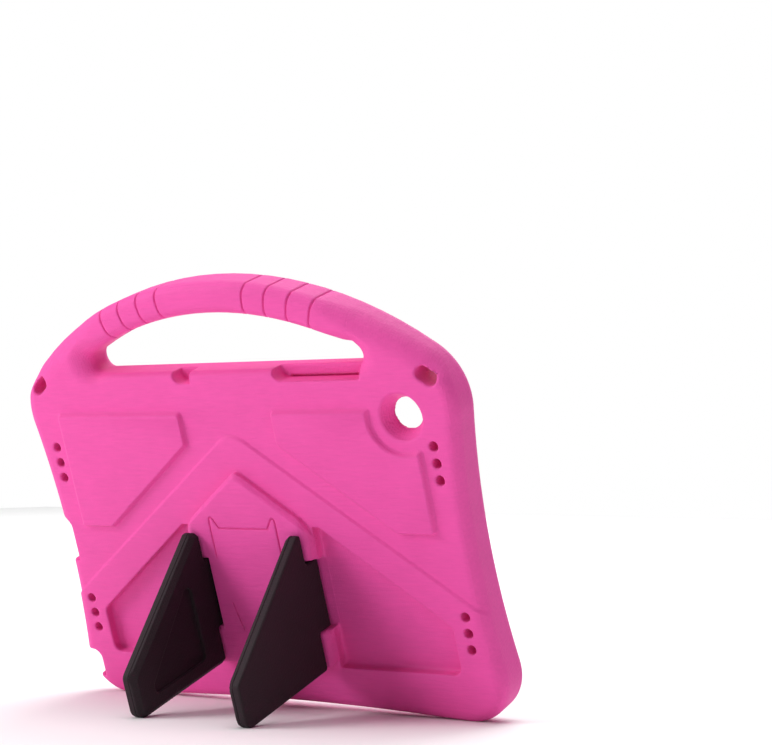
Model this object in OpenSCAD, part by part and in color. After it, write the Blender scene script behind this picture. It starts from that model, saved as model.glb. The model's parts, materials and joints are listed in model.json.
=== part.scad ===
// Shock-absorbing foam case for an 11-inch-class tablet, with a carry handle and two folding
// stand legs on its back. It stands on its bottom edge and on the toes of the opened legs.
//
// Row frame: X runs along the case, Z up from the ground, -Y is the side of the stand.
// Case frame: X along the case, Y up its short side, Z out of its back. Its origin lies on
// the flat back, in the middle of the twelve sound holes.

/* [Tablet] */
// Length of the tablet that fits in
tablet_l = 257.1; // [250:0.1:262]
// Width of the tablet
tablet_w = 168.7; // [164:0.1:172]
// Thickness of the tablet
tablet_t = 6.9; // [6:0.1:8]
// Play round the tablet
tablet_play = 0.25; // [0.1:0.05:0.6]

/* [Foam body] */
// Thickness from the flat back to the front rim
body_t = 23.5; // [22:0.1:26]
// Foam behind the tablet
back_t = 9; // [8:0.1:10]
// Depth of the step that rounds off the outer edges
edge_drop = 5.8; // [4:0.1:8]
// Width of that step
edge_step = 3; // [2:0.1:4]
// Length of the screen opening
screen_l = 243; // [236:1:248]
// Width of the screen opening
screen_w = 153; // [148:1:157]
// Slope of the screen opening's edge, measured across
screen_bevel = 6; // [3:0.5:7]
// Radius of a sound hole
vent_r = 2.75; // [2:0.05:3]
// Radius of the camera cone at the back face
camera_r = 13; // [11:0.5:14]
// Radius of the camera cone at the tablet
camera_r_in = 9; // [7:0.5:10]

/* [Back relief] */
// Height of the two upper panels
panel_h = 2.6; // [1:0.1:3]
// Height of the roof-shaped band
band_h = 1.3; // [0.5:0.1:2]
// Height of the house-shaped hinge block
house_h = 6.5; // [6:0.1:7]
// Half width of the house
house_x = 42.2; // [41.5:0.1:42.5]
// Depth of the pockets that the legs fold into
pocket_d = 4.6; // [4.4:0.1:5]

/* [Stand] */
// Lean of the opened case from upright
lean = 19.75; // [15:0.05:25]
// Thickness of a leg
leg_t = 8.8; // [7:0.1:9]
// Reach of a leg from its hinge pin
leg_l = 83.2; // [80:0.1:84]
// Half distance between the two hinge pins
hinge_x = 35; // [34.5:0.1:35.5]
// Radius of a hinge pin
pin_r = 1.75; // [1.5:0.05:2]
// Running clearance between pin and leg
pin_play = 0.05; // [0.02:0.01:0.1]

/* [Handle] */
// Thickness of the handle in the plane of the case
handle_t = 17.5; // [15:0.5:20]
// Height of the bar below the handle hole
hole_y = 98.3; // [97:0.1:99]

/* [Hidden] */

eps = 0.01;
foam_pink = [0.95, 0.33, 0.68];
plate_grey = [0.35, 0.35, 0.37];
steel_grey = [0.7, 0.7, 0.72];
leg_black = [0.13, 0.09, 0.11];

// Half of the case's outline: x, y and corner radius, from the middle of the bottom edge
handle_r = 218.5;
half_outline = [[147.9, -101.4, 26], [134.8, -0.5, 495], [147.9, 91.8, 36.4]];
bottom_mid = [0, -91.4, 1700];
handle_top = [0, 200.7, handle_r];
handle_y = 147.7;

// Camera opening, and the arc and shelf that the right panel is cut back to
camera = [112.3, 71.3];
camera_rim_r = 19;
camera_shelf_y = 53.5;

// Roof-shaped edge of the raised lower part
band_top = 66;
band_slope = 0.725;

// Tablet pocket
tablet_y = 1.5;
pocket_l = tablet_l + 2 * tablet_play;
pocket_w = tablet_w + 2 * tablet_play;
pocket_t = tablet_t + 1.2 * tablet_play;
lip_z = -back_t - pocket_t;

// Hinge: the two knuckles' heights along the pin, and the bay between them
knuckle_top = [-7.8, 11.8];
knuckle_low = [-70, -47.9];
knuckle_round = 4.5;
bay_gap = 0.4;
bay_x = hinge_x - leg_t / 2 - bay_gap;
leg_top = knuckle_top[0] - bay_gap;
leg_low = knuckle_low[1] + bay_gap;
eye_r = 3.6;
// The leg's rigid hinge end is as thick as the leg up to this distance from the pin
bush_w = 4.6;
pin_ends = [-66, 8];

// Leg pocket and leg outline
roof_slope = 0.7435;
pocket_x = 119.5;
pocket_top = 10.4;
pocket_top_x = 47;
pocket_low = -70.9;
function pocket_line(x) = pocket_top - roof_slope * (x - pocket_top_x);
leg_gap = 1.5;
leg_neck = 8.3;
leg_head = 9;
leg_foot_r = 6;
function leg_line(w) = pocket_line(hinge_x + w) - leg_gap;
leg_head_w = pocket_top_x + (pocket_top - leg_gap - leg_head) / roof_slope - hinge_x;

// The case stands on the back edge of its two bottom bumps. The bumps' lowest point gives the
// height of the case frame's origin above the ground
bump_y = -99.3;
origin_z = -bump_y * cos(lean) - edge_drop * sin(lean);
// The foot of each leg is a round corner that touches the ground at the same time
leg_foot = ((leg_foot_r - origin_z) + (leg_l - leg_foot_r) * sin(lean)) / cos(lean) - leg_foot_r;
// Shift that centres the standing case over the row frame's origin
origin_y = 4.17;

// ---- outlines -----------------------------------------------------------------------------

function unit(v) = v / norm(v);
function turn(a, b) = a[0] * b[1] - a[1] * b[0];
function flat(lists) = [for (l = lists) for (p = l) p];
// The arc that rounds corner b between its neighbours a and c, as n + 1 points
function corner(a, b, c, n) =
    let (p = [b[0], b[1]], u = unit([a[0], a[1]] - p), v = unit([c[0], c[1]] - p))
    let (half = acos(u * v) / 2, m = p + unit(u + v) * b[2] / sin(half))
    let (s = p + u * b[2] / tan(half) - m, sweep = (180 - 2 * half) * sign(turn(-u, v)))
    b[2] == 0 ? [p] :
    [for (i = [0:n]) let (t = sweep * i / n)
        m + [s[0] * cos(t) - s[1] * sin(t), s[0] * sin(t) + s[1] * cos(t)]];
// A closed outline from corners given as x, y and radius
function rounded(c, n = 6) =
    flat([for (i = [0:len(c) - 1]) corner(c[(i + len(c) - 1) % len(c)], c[i], c[(i + 1) % len(c)], n)]);
// The same outline moved inwards by d; the outline runs anticlockwise
function inset(pts, d) =
    [for (i = [0:len(pts) - 1])
        let (t = unit(pts[(i + 1) % len(pts)] - pts[(i + len(pts) - 1) % len(pts)]))
        pts[i] + d * [-t[1], t[0]]];
function mirrored(c) = [for (i = [len(c) - 1:-1:0]) [-c[i][0], c[i][1], c[i][2]]];
function case_outline() =
    rounded(concat([bottom_mid], half_outline, [handle_top], mirrored(half_outline)), 8);

// A slab with stepped edges: the full outline stops short of both faces by the drop, and the
// faces are smaller by the step
module stepped_slab(pts, t, drop, step) {
    translate([0, 0, -t + drop]) linear_extrude(t - 2 * drop) polygon(pts);
    translate([0, 0, -t]) linear_extrude(t) polygon(inset(pts, step));
}

// ---- placing ------------------------------------------------------------------------------

// Puts the case frame into the row frame
module standing() {
    translate([0, origin_y, origin_z]) rotate([90 + lean, 0, 0]) children();
}

module both_sides() {
    children();
    mirror([1, 0, 0]) children();
}

module prism(corners, z0, z1) {
    translate([0, 0, z0]) linear_extrude(z1 - z0) polygon(rounded(corners));
}

// ---- foam body ----------------------------------------------------------------------------

module upper_panels() {
    panel = [[121.5, 7.2, 3], [121.5, 76.4, 3], [30.3, 76.4, 3], [30.3, 56.8, 4], [97.3, 7.2, 4]];
    difference() {
        both_sides() prism(panel, -eps, panel_h);
        translate([camera[0], camera[1], -1]) cylinder(h = panel_h + 2, r = camera_rim_r);
        translate([camera[0], camera_shelf_y, -1]) cube([20, 30, panel_h + 2]);
    }
}

// Raised lower part of the back, roof-shaped at its top
module band() {
    arm = 134;
    prism([[0, band_top, 15], [-arm, band_top - band_slope * arm, 4], [-arm, -88, 8], [arm, -88, 8],
        [arm, band_top - band_slope * arm, 4]], -eps, band_h);
}

// The hinge block: a roof-shaped outline under a profile that rounds its long top edges
module house() {
    base = pocket_d + 1;
    wide = house_x + 4;
    eaves = 11.8 - 0.75 * 4;
    difference() {
        intersection() {
            prism([[0, 43.5, 3], [-wide, eaves, 0], [-wide, -70, 0], [wide, -70, 0], [wide, eaves, 0]],
                -base - 1, house_h + 1);
            translate([0, 60, 0]) rotate([90, 0, 0]) linear_extrude(150)
                polygon(rounded([[-house_x, -base, 0], [house_x, -base, 0],
                    [house_x, house_h, knuckle_round], [-house_x, house_h, knuckle_round]]));
        }
        both_sides() translate([bay_x, leg_low - bay_gap, -2 * back_t])
            cube([20, leg_top - leg_low + 2 * bay_gap, 4 * back_t]);
    }
}

module leg_pocket() {
    prism([[house_x, pocket_top, 0], [house_x, leg_top + bay_gap, 0], [bay_x, leg_top + bay_gap, 0],
        [bay_x, leg_low - bay_gap, 0], [house_x, leg_low - bay_gap, 0], [house_x, pocket_low, 0],
        [pocket_x, pocket_low, 5], [pocket_x, pocket_line(pocket_x), 5], [pocket_top_x, pocket_top, 1.5]], -pocket_d, house_h + 1);
}

module tablet_pocket() {
    translate([-pocket_l / 2, tablet_y - pocket_w / 2, lip_z]) cube([pocket_l, pocket_w, pocket_t]);
    screen_opening();
}

// The bevelled opening over the screen, with a dip for the front camera
module screen_opening() {
    dip = [18.6, 5.4, 3.7];
    steps = 4;
    for (i = [0:steps - 1]) {
        grow = screen_bevel * (i + 0.5) / steps;
        step = (body_t + lip_z) / steps;
        translate([-screen_l / 2 - grow, tablet_y - screen_w / 2 - grow, lip_z - (i + 1) * step - (i == steps - 1 ? 1 : 0)])
            cube([screen_l + 2 * grow, screen_w + 2 * grow, step + eps + (i == steps - 1 ? 1 : 0)]);
    }
    translate([0, tablet_y + screen_w / 2, -body_t - 1]) linear_extrude(body_t + lip_z + 1 + eps)
        polygon([[-dip[0] / 2 - dip[2], -1], [dip[0] / 2 + dip[2], -1],
            [dip[0] / 2, dip[1]], [-dip[0] / 2, dip[1]]]);
}

module handle_hole() {
    inner_r = handle_r - handle_t;
    peak = handle_y - handle_t - inner_r + inner_r / cos(25.6);
    reach = (peak - hole_y) / tan(25.6);
    translate([0, 0, -body_t - 1]) linear_extrude(body_t + 2)
        polygon(rounded([[-reach, hole_y, 6], [reach, hole_y, 6], [0, peak, inner_r]], 14));
}

module vents() {
    both_sides() for (side = [-1, 1], y = [37.2, 46.4, 55.6])
        translate([128.4, side * y, lip_z]) cylinder(h = -lip_z + 1, r = vent_r);
}

module camera_cone() {
    translate([camera[0], camera[1], -back_t - eps]) cylinder(h = back_t + 2 * eps, r1 = camera_r_in, r2 = camera_r);
}

module strap_slots() {
    l = 6.3;
    w = 4.3;
    both_sides() translate([131.3, 93.4, 0]) rotate(-36)
        prism([[-l, -w, 4.1], [l, -w, 4.1], [l, w, 4.1], [-l, w, 4.1]], -body_t - 1, 1);
}

// Recesses over ports and buttons, open to the back and to the outside
module edge_recesses() {
    depth = 10;
    translate([0, 0, -depth]) {
        translate([-32, 91.8, 0]) cube([12, 12, depth + 1]);
        translate([36, 91.8, 0]) cube([55, 12, depth + 1]);
        translate([-150, -14.4, 0]) cube([18, 26.8, depth + 1]);
        translate([-150, -87.5, 0]) cube([18, 17, depth + 1]);
    }
}

// Slots from the long top recess and the upper left one through to the tablet's edge
module port_slots() {
    slot_h = 4;
    translate([0, 0, -9.4 - slot_h]) {
        translate([41, 84, 0]) cube([45, 9.5, slot_h]);
        translate([-134, -9.5, 0]) cube([8, 17, slot_h]);
    }
}

module foam_body() {
    color(foam_pink) standing() difference() {
        union() {
            stepped_slab(case_outline(), body_t, edge_drop, edge_step);
            upper_panels();
            band();
            house();
        }
        both_sides() leg_pocket();
        tablet_pocket();
        handle_hole();
        vents();
        camera_cone();
        strap_slots();
        edge_recesses();
        port_slots();
        hinge_plate_solid();
    }
}

// ---- hinge plate and pins -----------------------------------------------------------------

// A cylinder along the right hinge pin, from y0 to y1 in the case frame
module along_pin(y0, y1, r) {
    translate([hinge_x, y1, 0]) rotate([90, 0, 0]) cylinder(h = y1 - y0, r = r);
}

module pin_bore(r) {
    along_pin(pin_ends[0] - 0.5, pin_ends[1] + 0.5, r);
}

module hinge_plate_solid() {
    plate_t = 2;
    eyes = [[knuckle_top[0], knuckle_top[1] - 2], [knuckle_low[0] + 2, knuckle_low[1]]];
    translate([-40, -68, -back_t]) cube([80, 78, plate_t]);
    both_sides() for (eye = eyes) {
        along_pin(eye[0], eye[1], eye_r);
        translate([hinge_x - 2.5, eye[0], -back_t]) cube([5, eye[1] - eye[0], back_t]);
    }
}

module hinge_plate() {
    color(plate_grey) standing() difference() {
        hinge_plate_solid();
        both_sides() pin_bore(pin_r + 0.02);
    }
}

module hinge_pin() {
    along_pin(pin_ends[0], pin_ends[1], pin_r);
}

module right_hinge_pin() {
    color(steel_grey) standing() hinge_pin();
}

module left_hinge_pin() {
    color(steel_grey) standing() mirror([1, 0, 0]) hinge_pin();
}

// ---- legs ---------------------------------------------------------------------------------
// A leg is drawn lying flat: x is the distance from its pin, y as in the case frame, and z
// points to the face that shows when the leg is folded.

function leg_outline() = [[leg_head_w, leg_head, 2], [leg_neck, leg_head, 1.5], [leg_neck, leg_top, 1.5],
    [bush_w, leg_top, 0], [bush_w, leg_low, 0], [leg_neck, leg_low, 1.5], [leg_neck, leg_foot, 2],
    [leg_l, leg_foot, leg_foot_r], [leg_l, leg_line(leg_l), 5]];

// The stiffening plate stays this far inside the leg's edge
core_inset = 3;
core_t = 2.4;

module core_plate() {
    translate([0, 0, -core_t / 2]) linear_extrude(core_t)
        polygon(rounded([[0, leg_top - 2, 0], [0, leg_low + 2, 0], [leg_neck + core_inset, leg_low + 2, 1],
            [leg_neck + core_inset, leg_foot + core_inset, 1], [leg_l - core_inset, leg_foot + core_inset, 3],
            [leg_l - core_inset, leg_line(leg_l) - core_inset, 2],
            [leg_neck + core_inset, leg_line(leg_neck + core_inset) - core_inset - 2, 1],
            [leg_neck + core_inset, leg_top - 2, 0]]));
}

module bush(y0, y1, r) {
    translate([0, y1, 0]) rotate([90, 0, 0]) cylinder(h = y1 - y0, r = r);
}

module leg_core() {
    difference() {
        union() {
            bush(leg_low, leg_top, leg_t / 2);
            translate([0, leg_low, -leg_t / 2]) cube([bush_w, leg_top - leg_low, leg_t]);
            core_plate();
        }
        bush(leg_low - 1, leg_top + 1, pin_r + pin_play);
    }
}

// One foam half of a leg, from the middle plane to the face at height side * leg_t / 2
module leg_pad(side) {
    flip = side > 0 ? [0, 0, 0] : [0, 0, 1];
    difference() {
        mirror(flip) linear_extrude(leg_t / 2) polygon(rounded(leg_outline()));
        core_plate();
        if (side > 0) triangle_recess();
    }
}

// Shallow triangle in the face that shows when the leg is folded
module triangle_recess() {
    translate([0, 0, leg_t / 2 - 1.2]) linear_extrude(2)
        polygon(rounded([[24, -12, 4], [24, -59, 4], [70, -59, 4]]));
}

// Stands the right leg up on its pin: open, it points out of the back
module right_leg_open() {
    standing() translate([hinge_x, 0, 0]) rotate([0, -90, 0]) children();
}

module left_leg_open() {
    standing() mirror([1, 0, 0]) translate([hinge_x, 0, 0]) rotate([0, -90, 0]) children();
}

module right_leg_core() {
    color(plate_grey) right_leg_open() leg_core();
}

module right_leg_inner_pad() {
    color(leg_black) right_leg_open() leg_pad(-1);
}

module right_leg_outer_pad() {
    color(leg_black) right_leg_open() leg_pad(1);
}

module left_leg_core() {
    color(plate_grey) left_leg_open() leg_core();
}

module left_leg_inner_pad() {
    color(leg_black) left_leg_open() leg_pad(-1);
}

module left_leg_outer_pad() {
    color(leg_black) left_leg_open() leg_pad(1);
}

foam_body();
hinge_plate();
left_hinge_pin();
right_hinge_pin();
left_leg_core();
left_leg_inner_pad();
left_leg_outer_pad();
right_leg_core();
right_leg_inner_pad();
right_leg_outer_pad();
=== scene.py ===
import json
import math

import bpy
import numpy as np
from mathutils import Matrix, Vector


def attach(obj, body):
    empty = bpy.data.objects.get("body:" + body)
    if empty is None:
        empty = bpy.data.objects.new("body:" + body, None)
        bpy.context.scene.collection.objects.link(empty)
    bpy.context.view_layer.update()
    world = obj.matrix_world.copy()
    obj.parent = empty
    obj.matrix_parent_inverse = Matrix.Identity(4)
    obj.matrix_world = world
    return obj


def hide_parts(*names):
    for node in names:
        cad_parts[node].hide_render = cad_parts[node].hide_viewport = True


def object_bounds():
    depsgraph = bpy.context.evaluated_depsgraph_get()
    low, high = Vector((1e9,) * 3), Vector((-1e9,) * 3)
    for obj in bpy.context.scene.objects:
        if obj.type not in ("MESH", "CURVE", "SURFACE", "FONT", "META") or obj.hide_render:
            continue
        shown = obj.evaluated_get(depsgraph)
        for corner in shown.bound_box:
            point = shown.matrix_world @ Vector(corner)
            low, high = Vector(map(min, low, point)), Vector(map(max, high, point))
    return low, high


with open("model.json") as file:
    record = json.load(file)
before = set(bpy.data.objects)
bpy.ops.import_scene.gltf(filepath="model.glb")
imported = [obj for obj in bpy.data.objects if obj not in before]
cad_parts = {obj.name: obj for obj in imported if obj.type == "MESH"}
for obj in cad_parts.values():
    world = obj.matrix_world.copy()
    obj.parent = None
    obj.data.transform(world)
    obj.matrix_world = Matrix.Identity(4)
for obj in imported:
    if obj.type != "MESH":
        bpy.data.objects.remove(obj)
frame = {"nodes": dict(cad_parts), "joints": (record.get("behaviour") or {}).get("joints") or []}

cad_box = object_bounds()
MM = 0.001

# ---- the case frame ---------------------------------------------------------------------
# The soft parts are drawn in millimetres in the case frame: X along the case, Y up its short
# side, Z out of its back. The two leg hinges give that frame's place and lean.

hinges = {j["child"]: j for j in frame["joints"]}
hinge_pos = hinges["right_leg"]["pos_m"]
hinge_axis = hinges["right_leg"]["axis"]
hinge_x = hinge_pos[0] / MM
lean = math.atan2(-hinge_axis[1], hinge_axis[2])
origin = np.array([0, hinge_pos[1], hinge_pos[2]])


def to_row(points):
    """Case-frame points in mm as row-frame points in metres."""
    p = np.asarray(points, float) * MM
    s, c = math.sin(lean), math.cos(lean)
    return np.stack([p[:, 0], -p[:, 1] * s - p[:, 2] * c, p[:, 1] * c - p[:, 2] * s], 1) + origin


# ---- outlines and distance fields -------------------------------------------------------


def rounded(corners, steps=10):
    """A closed outline from corners given as x, y and radius."""
    pts = []
    for i, (x, y, r) in enumerate(corners):
        p = np.array([x, y], float)
        a = np.array(corners[i - 1][:2], float) - p
        b = np.array(corners[(i + 1) % len(corners)][:2], float) - p
        a, b = a / np.linalg.norm(a), b / np.linalg.norm(b)
        if r == 0:
            pts.append(p)
            continue
        half = math.acos(a @ b) / 2
        centre = p + (a + b) / np.linalg.norm(a + b) * r / math.sin(half)
        start = p + a * r / math.tan(half) - centre
        sweep = (math.pi - 2 * half) * np.sign(b[0] * a[1] - b[1] * a[0])
        for t in np.linspace(0, sweep, steps + 1):
            c, s = math.cos(t), math.sin(t)
            pts.append(centre + [start[0] * c - start[1] * s, start[0] * s + start[1] * c])
    return np.array(pts)


def inside_distance(outline, x, y):
    """Signed distance to a closed outline, negative inside."""
    best = np.full(x.shape, 1e9, np.float32)
    inside = np.zeros(x.shape, bool)
    for a, b in zip(outline, np.roll(outline, -1, 0)):
        e = b - a
        if e @ e < 1e-12:
            continue
        px, py = x - a[0], y - a[1]
        t = np.clip((px * e[0] + py * e[1]) / (e @ e), 0, 1)
        best = np.minimum(best, (px - e[0] * t) ** 2 + (py - e[1] * t) ** 2)
        if a[1] != b[1]:
            crosses = ((a[1] > y) != (b[1] > y)) & (px < e[0] * py / e[1])
            inside ^= crosses
    return np.where(inside, -1, 1) * np.sqrt(best)


def line_distance(path, x, y):
    """Distance to an open line of points."""
    best = np.full(x.shape, 1e9, np.float32)
    for a, b in zip(np.array(path[:-1], float), np.array(path[1:], float)):
        e = b - a
        px, py = x - a[0], y - a[1]
        t = np.clip((px * e[0] + py * e[1]) / (e @ e), 0, 1)
        best = np.minimum(best, (px - e[0] * t) ** 2 + (py - e[1] * t) ** 2)
    return np.sqrt(best)


def rect(x, y, cx, cy, hx, hy, r):
    """Signed distance to a rectangle with round corners."""
    qx, qy = np.abs(x - cx) - hx + r, np.abs(y - cy) - hy + r
    return np.hypot(np.maximum(qx, 0), np.maximum(qy, 0)) + np.minimum(np.maximum(qx, qy), 0) - r


def both(a, b, r):
    """What is inside both shapes, with the edge where they meet rounded by r."""
    return np.minimum(np.maximum(a, b), -r) + np.hypot(np.maximum(a + r, 0), np.maximum(b + r, 0))


def either(a, b, r):
    """What is inside one shape or the other, with a fillet of r where they meet."""
    return -both(-a, -b, r)


def cut(a, b, r):
    """The first shape without the second, with the edge rounded by r."""
    return both(a, -b, r)


def ramp(d, width):
    """0 outside an outline, 1 from width inside it, with a soft bevel between."""
    t = np.clip(-d / width, 0, 1)
    return t * t * (3 - 2 * t)


def grid_line(lo, hi, step, fine=(), fine_step=None):
    """Grid values from lo to hi, closer together within the fine stretches."""
    out = [lo]
    while out[-1] < hi:
        near = any(a <= out[-1] < b for a, b in fine)
        out.append(out[-1] + (fine_step if near else step))
    return np.array(out, np.float32)


def skin(d, axes):
    """Quads of the surface where the distance grid d is zero, as vertices and faces."""
    corners = [(i, j, k) for i in (0, 1) for j in (0, 1) for k in (0, 1)]
    inside = d < 0
    n = [s - 1 for s in d.shape]

    def at(a, c):
        return a[c[0] : c[0] + n[0], c[1] : c[1] + n[1], c[2] : c[2] + n[2]]

    count = sum(at(inside, c).astype(np.int8) for c in corners)
    active = (count > 0) & (count < 8)
    cells = np.argwhere(active)
    number = np.full(active.shape, -1, np.int32)
    number[active] = np.arange(len(cells))
    total, hits = np.zeros((len(cells), 3)), np.zeros(len(cells))
    for a in corners:
        for axis in range(3):
            if a[axis]:
                continue
            ia = cells + a
            ib = ia.copy()
            ib[:, axis] += 1
            va, vb = d[tuple(ia.T)], d[tuple(ib.T)]
            hit = (va < 0) != (vb < 0)
            t = np.where(hit, va / np.where(hit, va - vb, 1), 0)
            p = np.stack([axes[m][ia[:, m]] for m in range(3)], 1).astype(float)
            p[:, axis] += t * (axes[axis][ib[:, axis]] - axes[axis][ia[:, axis]])
            total += p * hit[:, None]
            hits += hit
    quads = []
    for axis in range(3):
        u, v = (axis + 1) % 3, (axis + 2) % 3
        lo = [slice(None)] * 3
        hi = [slice(None)] * 3
        lo[axis], hi[axis] = slice(0, -1), slice(1, None)
        first, second = inside[tuple(lo)], inside[tuple(hi)]
        edges = np.argwhere(first != second)
        edges = edges[(edges[:, u] > 0) & (edges[:, v] > 0)]
        edges = edges[(edges[:, u] < n[u]) & (edges[:, v] < n[v])]
        ring = []
        for du, dv in ((1, 1), (0, 1), (0, 0), (1, 0)):
            e = edges.copy()
            e[:, u] -= du
            e[:, v] -= dv
            ring.append(number[tuple(e.T)])
        ring = np.stack(ring, 1)
        back = ~first[tuple(edges.T)]
        ring[back] = ring[back][:, ::-1]
        quads.append(ring)
    return total / hits[:, None], np.concatenate(quads)


def slope_at(d, axes, points):
    """Direction in which the distance grows fastest, between the grid's points."""
    index, share = [], []
    for m in range(3):
        i = np.clip(np.searchsorted(axes[m], points[:, m]) - 1, 0, len(axes[m]) - 2)
        index.append(i)
        share.append((points[:, m] - axes[m][i]) / (axes[m][i + 1] - axes[m][i]))
    out = np.zeros((len(points), 3))
    for m in range(3):
        grown = np.gradient(d, axes[m], axis=m)
        for corner in range(8):
            bits = [corner >> b & 1 for b in range(3)]
            weight = np.prod([share[b] if bits[b] else 1 - share[b] for b in range(3)], axis=0)
            out[:, m] += weight * grown[tuple(index[b] + bits[b] for b in range(3))]
    return out / np.maximum(np.linalg.norm(out, axis=1), 1e-9)[:, None]


def field_piece(name, d, axes, place, body, node, material, face_limit):
    """A mesh piece of the surface of a distance field, which stands for a CAD node."""
    points, faces = skin(d, axes)
    mesh = bpy.data.meshes.new(name)
    mesh.from_pydata(points.tolist(), [], faces.tolist())
    piece = bpy.data.objects.new(name, mesh)
    bpy.context.scene.collection.objects.link(piece)
    if 2 * len(faces) > face_limit:
        thin = piece.modifiers.new("thin", "DECIMATE")
        thin.ratio = face_limit / (2 * len(faces))
        depsgraph = bpy.context.evaluated_depsgraph_get()
        settled = bpy.data.meshes.new_from_object(piece.evaluated_get(depsgraph))
        piece.modifiers.clear()
        piece.data = settled
    mesh = piece.data
    points = np.zeros(len(mesh.vertices) * 3)
    mesh.vertices.foreach_get("co", points)
    points = points.reshape(-1, 3)
    normals = slope_at(d, axes, points)
    moved = place(points)
    normals = place(points + normals) - moved
    normals /= np.linalg.norm(normals, axis=1)[:, None]
    mesh.vertices.foreach_set("co", moved.ravel())
    if np.linalg.det(place(np.eye(3)) - place(np.zeros((3, 3)))) < 0:
        mesh.flip_normals()
    mesh.polygons.foreach_set("use_smooth", [True] * len(mesh.polygons))
    mesh.normals_split_custom_set_from_vertices(normals.tolist())
    mesh.update()
    mesh.materials.clear()
    mesh.materials.append(material)
    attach(piece, body)
    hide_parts(node)
    return piece


# ---- materials --------------------------------------------------------------------------


def node_material(name, colour, roughness):
    """A material with its shader and its case-frame coordinates in millimetres."""
    mat = bpy.data.materials.new(name)
    mat.use_nodes = True
    tree = mat.node_tree
    shader = tree.nodes["Principled BSDF"]
    shader.inputs["Base Color"].default_value = (*colour, 1)
    shader.inputs["Roughness"].default_value = roughness
    coords = tree.nodes.new("ShaderNodeTexCoord")
    place = tree.nodes.new("ShaderNodeMapping")
    place.vector_type = "TEXTURE"
    place.inputs["Rotation"].default_value = (math.pi / 2 + lean, 0, 0)
    place.inputs["Scale"].default_value = (MM, MM, MM)
    tree.links.new(coords.outputs["Object"], place.inputs["Vector"])
    return mat, tree, shader, place.outputs["Vector"]


def add_node(tree, kind, **values):
    """A new node; names of inputs get values or links, other names set its properties."""
    node = tree.nodes.new(kind)
    for key, value in values.items():
        if key in node.inputs:
            if isinstance(value, bpy.types.NodeSocket):
                tree.links.new(value, node.inputs[key])
            else:
                node.inputs[key].default_value = value
        else:
            setattr(node, key, value)
    return node


def maths(tree, operation, a, b=0.0):
    """A Math node of two values or links."""
    node = tree.nodes.new("ShaderNodeMath")
    node.operation = operation
    for slot, value in zip(node.inputs, (a, b)):
        if isinstance(value, bpy.types.NodeSocket):
            tree.links.new(value, slot)
        else:
            slot.default_value = value
    return node.outputs["Value"]


def wave(tree, vector, direction, pitch, distortion):
    """Bands with the given pitch in mm."""
    node = add_node(
        tree, "ShaderNodeTexWave", wave_type="BANDS", bands_direction=direction, wave_profile="SIN",
        Vector=vector, Scale=math.pi / (10 * pitch), Distortion=distortion,
    )
    node.inputs["Detail"].default_value = 1.0
    node.inputs["Detail Scale"].default_value = 0.15
    return node.outputs["Fac"]


def tinted(tree, shader, colour, dark, light, factor):
    """Slight variation of the base colour."""
    mix = add_node(tree, "ShaderNodeMix", data_type="RGBA")
    tree.links.new(factor, mix.inputs[0])
    mix.inputs[6].default_value = (*[c * dark for c in colour], 1)
    mix.inputs[7].default_value = (*[min(1, c * light) for c in colour], 1)
    tree.links.new(mix.outputs[2], shader.inputs["Base Color"])


def clouds(tree, vector, scale):
    """Soft large variation from 0 to 1."""
    return add_node(tree, "ShaderNodeTexNoise", Vector=vector, Scale=scale, Detail=4.0).outputs["Fac"]


def foam_material(name, colour, roughness, streak, depth, sheen, gloss):
    """Moulded EVA foam: fine wavy streaks along its faces, a grain and a slight cloudiness."""
    mat, tree, shader, vector = node_material(name, colour, roughness)
    drawn = add_node(tree, "ShaderNodeMapping", Vector=vector, Scale=(0.12, 1.0, 1.0))
    lines = add_node(
        tree, "ShaderNodeTexNoise", Vector=drawn.outputs["Vector"], Scale=streak, Detail=2.0,
        Distortion=0.4,
    ).outputs["Fac"]
    across = wave(tree, vector, "X", 1.3, 0.8)
    deep = wave(tree, vector, "Z", 1.3, 0.8)
    speck = add_node(tree, "ShaderNodeTexNoise", Vector=vector, Scale=1.5, Detail=3.0).outputs["Fac"]
    dots = maths(tree, "MULTIPLY", maths(tree, "MULTIPLY", across, deep), 0.25)
    grain = maths(tree, "MULTIPLY", speck, 0.35)
    height = maths(tree, "ADD", maths(tree, "MULTIPLY", lines, 0.8), grain)
    height = maths(tree, "ADD", height, dots)
    shade = maths(tree, "MULTIPLY", clouds(tree, vector, 0.06), 0.4)
    shade = maths(tree, "ADD", shade, maths(tree, "MULTIPLY", lines, 0.6))
    tinted(tree, shader, colour, 0.89, 1.11, shade)
    bump = add_node(tree, "ShaderNodeBump", Strength=0.6, Distance=depth * MM, Height=height)
    tree.links.new(bump.outputs["Normal"], shader.inputs["Normal"])
    shine = add_node(tree, "ShaderNodeMapRange", Value=speck)
    shine.inputs["To Min"].default_value = roughness - 0.06
    shine.inputs["To Max"].default_value = roughness + 0.08
    tree.links.new(shine.outputs["Result"], shader.inputs["Roughness"])
    shader.inputs["Specular IOR Level"].default_value = gloss
    shader.inputs["Sheen Weight"].default_value = sheen
    shader.inputs["Sheen Roughness"].default_value = 0.5
    return mat


def plastic_material(name, colour, roughness):
    """Moulded nylon with a faint orange peel."""
    mat, tree, shader, vector = node_material(name, colour, roughness)
    tinted(tree, shader, colour, 0.9, 1.1, clouds(tree, vector, 0.3))
    peel = add_node(tree, "ShaderNodeTexNoise", Vector=vector, Scale=2.5, Detail=3.0).outputs["Fac"]
    bump = add_node(tree, "ShaderNodeBump", Strength=0.3, Distance=0.05 * MM, Height=peel)
    tree.links.new(bump.outputs["Normal"], shader.inputs["Normal"])
    return mat


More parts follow.
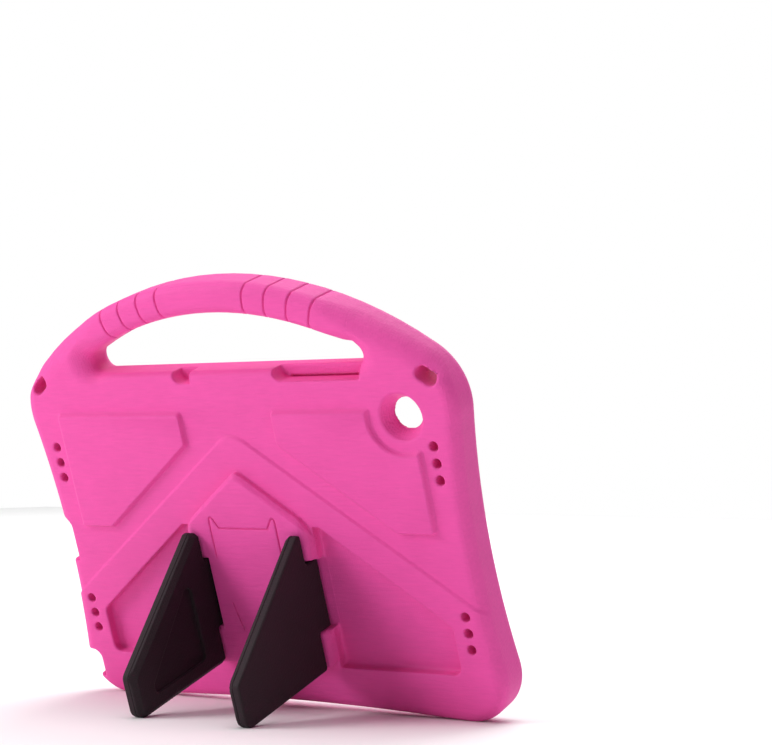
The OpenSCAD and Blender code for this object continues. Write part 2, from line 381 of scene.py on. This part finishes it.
def steel_material(name):
    """Ground steel, with fine marks round the pin."""
    colour = (0.55, 0.55, 0.57)
    mat, tree, shader, vector = node_material(name, colour, 0.3)
    shader.inputs["Metallic"].default_value = 1.0
    tinted(tree, shader, colour, 0.9, 1.08, clouds(tree, vector, 0.5))
    marks = wave(tree, vector, "Y", 0.15, 2.0)
    bump = add_node(tree, "ShaderNodeBump", Strength=0.2, Distance=0.02 * MM, Height=marks)
    tree.links.new(bump.outputs["Normal"], shader.inputs["Normal"])
    return mat


foam = foam_material("pink_foam", (0.87, 0.084, 0.40), 0.62, 0.75, 0.55, 0.05, 0.3)
black_foam = foam_material("black_foam", (0.021, 0.0105, 0.015), 0.62, 0.9, 0.4, 0.02, 0.25)
nylon = plastic_material("black_nylon", (0.014, 0.012, 0.013), 0.42)
plate_nylon = plastic_material("pink_nylon", (0.75, 0.06, 0.33), 0.45)
steel = steel_material("ground_steel")

# ---- the foam body ----------------------------------------------------------------------

BODY_T = 23.5
BACK_T = 9.0
LIP_Z = -16.5
POCKET_D = 4.6
HOUSE_H = 6.5
HOUSE_X = 42.2
EDGE_R = 7.0
HANDLE_R = 218.5
HANDLE_T = 17.5
HANDLE_Y = 147.7
HOLE_Y = 98.3
CAMERA = (112.3, 71.3)
BAY_X = 30.2
BAY_Y = (-47.9, -7.8)
KNUCKLE_R = 6.4
TABLET_Y = 1.5
PANEL_H = 2.6
BAND_H = 1.3
BAND_TOP = 66
BAND_SLOPE = 0.725
POCKET_TOP = 10.4
POCKET_SLOPE = 0.7435
POCKET_END = 119.5
VENT_R = 2.75
ENGRAVED = 1.1


def mirrored(corners):
    """Corners on the other side of the case, in an outline's order."""
    return [(-x, y, r) for x, y, r in reversed(corners)]


side = [(147.9, -101.4, 26), (134.8, -0.5, 495), (147.9, 91.8, 36.4)]
case_outline = rounded([(0, -91.4, 1700), *side, (0, 200.7, HANDLE_R), *mirrored(side)], 24)
inner_r = HANDLE_R - HANDLE_T
end_slope = math.radians(25.6)
hole_top = HANDLE_Y - HANDLE_T - inner_r + inner_r / math.cos(end_slope)
hole_end = (hole_top - HOLE_Y) / math.tan(end_slope)
handle_hole = rounded([(-hole_end, HOLE_Y, 6), (hole_end, HOLE_Y, 6), (0, hole_top, inner_r)], 24)
panel = rounded([(121.5, 7.2, 3), (121.5, 76.4, 3), (30.3, 76.4, 3), (30.3, 56.8, 4), (97.3, 7.2, 4)])
band_low = BAND_TOP - BAND_SLOPE * 170
band = rounded([(0, BAND_TOP, 15), (-170, band_low, 0), (-170, -140, 0), (170, -140, 0),
                (170, band_low, 0)])


def pocket_edge(x):
    """Height of a leg pocket's slanted edge."""
    return POCKET_TOP - POCKET_SLOPE * (x - 47)


leg_pocket = rounded([(HOUSE_X, POCKET_TOP, 0), (HOUSE_X, -70.9, 0), (POCKET_END, -70.9, 5),
                      (POCKET_END, pocket_edge(POCKET_END), 5), (47, POCKET_TOP, 1.5)])
camera_dip = rounded([(-13, 70, 0), (13, 70, 0), (13, 78.3, 2), (9.3, 83.4, 2), (-9.3, 83.4, 2),
                      (-13, 78.3, 2)])
# Thin engraved trim: a level line, an outline with a point at each end of it, and two short lines
trim_lines = [[(-16.6, 10.8), (16.6, 10.8)]]
for s in (-1, 1):
    trim_lines.append([(s * 22.6, -6.3), (s * 22.6, 14.5), (s * 22.2, 16.6), (s * 21.0, 17.2),
                       (s * 19.8, 16.2), (s * 16.6, 10.8)])
    trim_lines.append([(s * 18.4, -33.4), (s * 14.6, -49)])
groove_x = (29, 42.7, 56.4, 69.9)
recesses = [
    rounded([(-32, 91.8, 6), (-20, 91.8, 0.6), (-20, 112, 0), (-32, 112, 0)]),
    rounded([(36, 91.8, 6), (91, 91.8, 0.6), (91, 112, 0), (36, 112, 0)]),
    rounded([(-132, 12.4, 7), (-132, -14.4, 0.8), (-160, -14.4, 0), (-160, 12.4, 0)]),
    rounded([(-132, -70.5, 6), (-132, -87.5, 0.8), (-160, -87.5, 0), (-160, -70.5, 0)]),
]


def back_surface(x, y):
    """Height of the back face with its relief."""
    plateau = BAND_H * ramp(inside_distance(band, x, y), 1.4)
    right = inside_distance(panel, x, y)
    right = np.maximum(right, 19 - np.hypot(x - CAMERA[0], y - CAMERA[1]))
    shelf = np.maximum(53.5 - y, CAMERA[0] - x)
    right = np.maximum(right, -shelf)
    left = inside_distance(panel, -x, y)
    raised = PANEL_H * ramp(np.minimum(left, right), 1.9)
    crown = 2.6 * ramp(96 - y, 26)
    return np.maximum(plateau, raised) + crown


def foam_distance(x, y, z):
    """Signed distance to the foam body; x and y are flat grids, z is the levels' values."""
    flat_x, flat_y = x[:, :, None], y[:, :, None]
    ax = np.abs(flat_x)
    hole = inside_distance(handle_hole, x, y)
    plan = np.maximum(inside_distance(case_outline, x, y), -hole)[:, :, None]
    near_bar = ramp(hole - 14, 10) * ramp(y - 112, 10) * ramp(np.abs(x) - 95, 25)
    near_end = ramp(72 - np.abs(x), 30) * ramp(86 - y, 14)
    back_r = (EDGE_R - 3 * near_bar + 6 * near_end)[:, :, None]
    d = both(plan, z - back_surface(x, y)[:, :, None], back_r)
    d = both(d, -BODY_T - z, EDGE_R)

    # leg pockets and the bays between the knuckles
    bay = np.maximum(BAY_X - ax, np.abs(flat_y - sum(BAY_Y) / 2) - (BAY_Y[1] - BAY_Y[0]) / 2)
    pocket = np.minimum(inside_distance(leg_pocket, np.abs(x), y)[:, :, None],
                        np.maximum(bay, ax - HOUSE_X - 2))
    d = cut(d, both(pocket, -POCKET_D - z, 1.8), 0.7)

    # hinge block: chamfered roof, round knuckles
    soft_x = np.sqrt(flat_x**2 + 4)
    roof = (flat_y + 0.75 * soft_x - 43.5) / 1.25
    top = z - HOUSE_H
    block = np.maximum(np.maximum(roof, top), (roof + top + 2.3) * math.sqrt(0.5))
    block = both(block, -70 - flat_y, 1.5)
    block = both(block, ax - HOUSE_X, KNUCKLE_R)
    block = cut(block, bay, 3)
    d = either(d, np.maximum(block, -POCKET_D - 1.5 - z), 0.5)

    # tablet pocket and screen opening
    tablet = rect(x, y, 0, TABLET_Y, 128.8, 84.6, 5)[:, :, None]
    room = both(tablet, np.abs(z - (-BACK_T + LIP_Z) / 2) - (-BACK_T - LIP_Z) / 2, 0.8)
    d = cut(d, room, 0.5)
    screen = rect(x, y, 0, TABLET_Y, 121.5, 76.5, 4)
    screen = np.minimum(screen, inside_distance(camera_dip, x, y))[:, :, None]
    slope = 6 * np.clip((LIP_Z - z) / (BODY_T + LIP_Z), 0, 1.2)
    opening = np.maximum((screen - slope) * 0.77, z + BACK_T + 3)
    d = cut(d, opening, 1.1)

    # sound holes, camera cone and strap slots
    vents = np.full(x.shape, 1e9)
    for vy in (37.2, 46.4, 55.6):
        vents = np.minimum(vents, np.hypot(np.abs(x) - 128.4, np.abs(y) - vy) - VENT_R)
    d = cut(d, np.maximum(vents[:, :, None], LIP_Z + 2 - z), 0.5)
    cone = np.hypot(x - CAMERA[0], y - CAMERA[1])[:, :, None] - 13 - np.maximum(z, -BACK_T) * 5 / 9
    d = cut(d, np.maximum(cone * 0.874, -BACK_T - 3 - z), 0.6)
    a = math.radians(-36)
    sx, sy = np.abs(x) - 131.1, y - 92.4
    along, across = sx * math.cos(a) + sy * math.sin(a), -sx * math.sin(a) + sy * math.cos(a)
    slots = rect(along, across, 0, 0, 6.4, 3.6, 3.6)[:, :, None]
    d = cut(d, slots, 0.8)

    # recesses over ports and buttons, and their slots to the tablet
    recess = np.min([inside_distance(outline, x, y) for outline in recesses], axis=0)[:, :, None]
    d = cut(d, both(recess, -10 - z, 1.5), 0.8)
    port = np.minimum(rect(x, y, 63.5, 88, 22.5, 4.4, 1), rect(x, y, -130, -1, 3, 8.5, 1))[:, :, None]
    d = cut(d, np.maximum(port, np.abs(z + 11.4) - 2), 0.3)

    # grip grooves round the handle and the engraved lines on the hinge block
    groove = np.full(x.shape, 1e9)
    for gx in groove_x:
        a = math.asin(gx / (HANDLE_R - HANDLE_T / 2))
        across = np.abs(np.abs(x) * math.cos(a) - (y - HANDLE_Y + HANDLE_R) * math.sin(a))
        groove = np.minimum(groove, np.where(y > HOLE_Y + 5, across, 1e9))
    d = np.maximum(d, np.minimum(0.5 - groove[:, :, None], d + ENGRAVED))
    lines = np.full(x.shape, 1e9)
    for path in trim_lines:
        lines = np.minimum(lines, line_distance(path, x, y))
    engraved = np.minimum(np.minimum((0.42 - lines)[:, :, None], d + ENGRAVED), z - 3)
    d = np.maximum(d, engraved)

    # seat of the hinge plate in the back of the tablet pocket
    seat = rect(x, y, 0, -29, 40.15, 39.15, 0.5)[:, :, None]
    return np.maximum(d, -np.maximum(seat, np.abs(z + BACK_T - 0.4) - 1.7))


def build_foam_body():
    coarse = 0.85
    fine = 0.4
    xs = grid_line(-150.3, 150, coarse, [(-74, -26), (-25, 25), (26, 74)], fine)
    ys = grid_line(-103.3, 152, coarse, [(-50, 20)], fine)
    zs = grid_line(-25.1, 8, coarse, [(-0.6, 3.2), (5.2, 7)], fine + 0.1)
    x, y = np.meshgrid(xs, ys, indexing="ij")
    d = foam_distance(x, y, zs[None, None, :]).astype(np.float32)
    field_piece("foam_shell", d, (xs, ys, zs), to_row, "case", "foam_body", foam, 190_000)


build_foam_body()

# ---- the legs' foam pads ----------------------------------------------------------------

LEG_T = 8.8
LEG_L = 83.2
LEG_GAP = 1.5
BARREL_R = 4.3
BUSH_R = 2.7
neck, head = 8.3, 9.0
leg_top, leg_low = BAY_Y[1] - 0.4, BAY_Y[0] + 0.4
foot_r = 6
foot = ((foot_r - origin[2] / MM) + (LEG_L - foot_r) * math.sin(lean)) / math.cos(lean) - foot_r


def leg_edge(w):
    """Height of a leg's slanted edge at w from the hinge."""
    return pocket_edge(hinge_x + w) - LEG_GAP


head_w = 47 + (POCKET_TOP - LEG_GAP - head) / POCKET_SLOPE - hinge_x
leg_outline = rounded([(head_w, head, 2), (neck, head, 1.5), (neck, leg_top, 1.5),
                       (-BARREL_R, leg_top, 1.2), (-BARREL_R, leg_low, 1.2), (neck, leg_low, 1.5),
                       (neck, foot, 2), (LEG_L, foot, foot_r), (LEG_L, leg_edge(LEG_L), 5)])
core_outline = rounded([(0, leg_top - 2, 0), (0, leg_low + 2, 0), (neck + 3, leg_low + 2, 1),
                        (neck + 3, foot + 3, 1), (LEG_L - 3, foot + 3, 3),
                        (LEG_L - 3, leg_edge(LEG_L) - 3, 2), (neck + 3, leg_edge(neck + 3) - 5, 1),
                        (neck + 3, leg_top - 2, 0)])
triangle = rounded([(23.5, -11, 4), (23.5, -60, 4), (75, -60, 4)])


def core_distance(w, y, z):
    """The stiff plate within a leg, and its bush round the hinge pin."""
    plate = np.maximum(inside_distance(core_outline, w, y)[:, :, None], np.abs(z) - 1.2)
    from_pin = np.hypot(w[:, :, None], z)
    ends = np.maximum(leg_low + 0.3 - y, y - leg_top + 0.3)[:, :, None]
    return np.maximum(np.minimum(plate, np.maximum(from_pin - BUSH_R, ends)), 1.8 - from_pin)


def pad_distance(w, y, z, outer):
    """One foam half of a leg lying flat, on its outer or pocket side."""
    plan = inside_distance(leg_outline, w, y)[:, :, None]
    barrel = np.hypot(np.minimum(w, 0)[:, :, None], z) - BARREL_R
    if outer:
        slant = (y - leg_edge(w)) / 1.246
        rim = both(both(slant, w - LEG_L, 5), foot - y, foot_r)
        rim = both(rim, y - head, 2)[:, :, None]
        face = z - LEG_T / 2
        chamfer = (rim + face + 2.8) * math.sqrt(0.5)
        # rows of moulded dots along the chamfer
        along = (w - y)[:, :, None]
        dots = 0.16 * np.sin((rim - z) * math.pi / 1.15) * np.sin(along * math.pi / 1.2)
        chamfer = chamfer + dots * ((chamfer > -0.6) & (rim > -3))
        d = both(np.maximum(both(plan, face, 0.6), chamfer), -z, 0.3)
        dent = inside_distance(triangle, w, y)[:, :, None]
        d = cut(d, both(dent, LEG_T / 2 - 2.2 - z, 0.4), 0.4)
    else:
        d = both(plan, -LEG_T / 2 - z, 1.3)
        d = both(d, z, 0.3)
    d = np.maximum(d, barrel)
    return np.maximum(d, 0.05 - core_distance(w, y, z))


def build_leg(body):
    step = 0.42
    ws, ys = grid_line(-4.6, 84, step), grid_line(-71.5, 11, step)
    zs = grid_line(-5, 5.1, 0.38)
    w, y = np.meshgrid(ws, ys, indexing="ij")
    axes = (ws, ys, zs)
    hand = -1 if body == "left_leg" else 1

    def opened(p):
        return to_row(np.stack([hand * (hinge_x - p[:, 2]), p[:, 1], p[:, 0]], 1))

    for outer, kind in ((True, "outer_pad"), (False, "inner_pad")):
        d = pad_distance(w, y, zs[None, None, :], outer).astype(np.float32)
        name = f"{body}_{kind}"
        field_piece(name + "_foam", d, axes, opened, body, name, black_foam, 40_000)
    d = core_distance(w, y, zs[None, None, :]).astype(np.float32)
    name = f"{body}_core"
    field_piece(name + "_plate", d, axes, opened, body, name, nylon, 12_000)


for body in ("left_leg", "right_leg"):
    build_leg(body)

# ---- CAD parts that stay ----------------------------------------------------------------

finishes = {
    "hinge_plate": plate_nylon,
    "left_hinge_pin": steel,
    "right_hinge_pin": steel,
}
for node, material in finishes.items():
    data = frame["nodes"][node].data
    data.materials.clear()
    data.materials.append(material)

# ---- floor, lights and camera -----------------------------------------------------------

FLOOR_HALF = 3.0


def build_floor():
    mesh = bpy.data.meshes.new("floor")
    corners = [(-FLOOR_HALF, -FLOOR_HALF, 0), (FLOOR_HALF, -FLOOR_HALF, 0), (FLOOR_HALF, FLOOR_HALF, 0),
               (-FLOOR_HALF, FLOOR_HALF, 0)]
    mesh.from_pydata(corners, [], [(0, 1, 2, 3)])
    floor = bpy.data.objects.new("floor", mesh)
    bpy.context.scene.collection.objects.link(floor)
    mat = bpy.data.materials.new("paper")
    mat.use_nodes = True
    shader = mat.node_tree.nodes["Principled BSDF"]
    shader.inputs["Base Color"].default_value = (0.94, 0.94, 0.94, 1)
    shader.inputs["Roughness"].default_value = 0.9
    mesh.materials.append(mat)


def add_area(name, location, target, size, power):
    light = bpy.data.lights.new(name, "AREA")
    light.size = size
    light.energy = power
    lamp = bpy.data.objects.new(name, light)
    lamp.location = location
    lamp.rotation_euler = (Vector(target) - Vector(location)).to_track_quat("-Z", "Y").to_euler()
    bpy.context.scene.collection.objects.link(lamp)


build_floor()
middle = (cad_box[0] + cad_box[1]) / 2
add_area("key", (-1.35, -1.4, 1.1), middle, 1.0, 28)
add_area("back", (-0.4, 2.6, 2.2), (0, 1.4, 0), 2.5, 70)
overhead = bpy.data.lights.new("overhead", "SUN")
overhead.energy = 1.9
overhead.angle = math.radians(50)
bpy.context.scene.collection.objects.link(bpy.data.objects.new("overhead", overhead))


def build_world():
    """White to the camera, and a weaker even light on the object."""
    world = bpy.data.worlds.new("studio")
    world.use_nodes = True
    tree = world.node_tree
    tree.nodes["Background"].inputs["Color"].default_value = (1, 1, 1, 1)
    rays = tree.nodes.new("ShaderNodeLightPath")
    strength = tree.nodes.new("ShaderNodeMapRange")
    strength.inputs["To Min"].default_value = 0.13
    strength.inputs["To Max"].default_value = 1.0
    tree.links.new(rays.outputs["Is Camera Ray"], strength.inputs["Value"])
    tree.links.new(strength.outputs["Result"], tree.nodes["Background"].inputs["Strength"])
    bpy.context.scene.world = world


build_world()
bpy.context.scene.view_settings.view_transform = "Standard"

lens = bpy.data.cameras.new("camera")
lens.sensor_width = 36
lens.lens = 94.1
camera = bpy.data.objects.new("camera", lens)
camera.location = (0.6776, -0.8705, 0.1410)
camera.rotation_euler = (math.radians(92.268), math.radians(0.015), math.radians(34.025))
bpy.context.scene.collection.objects.link(camera)
bpy.context.scene.camera = camera
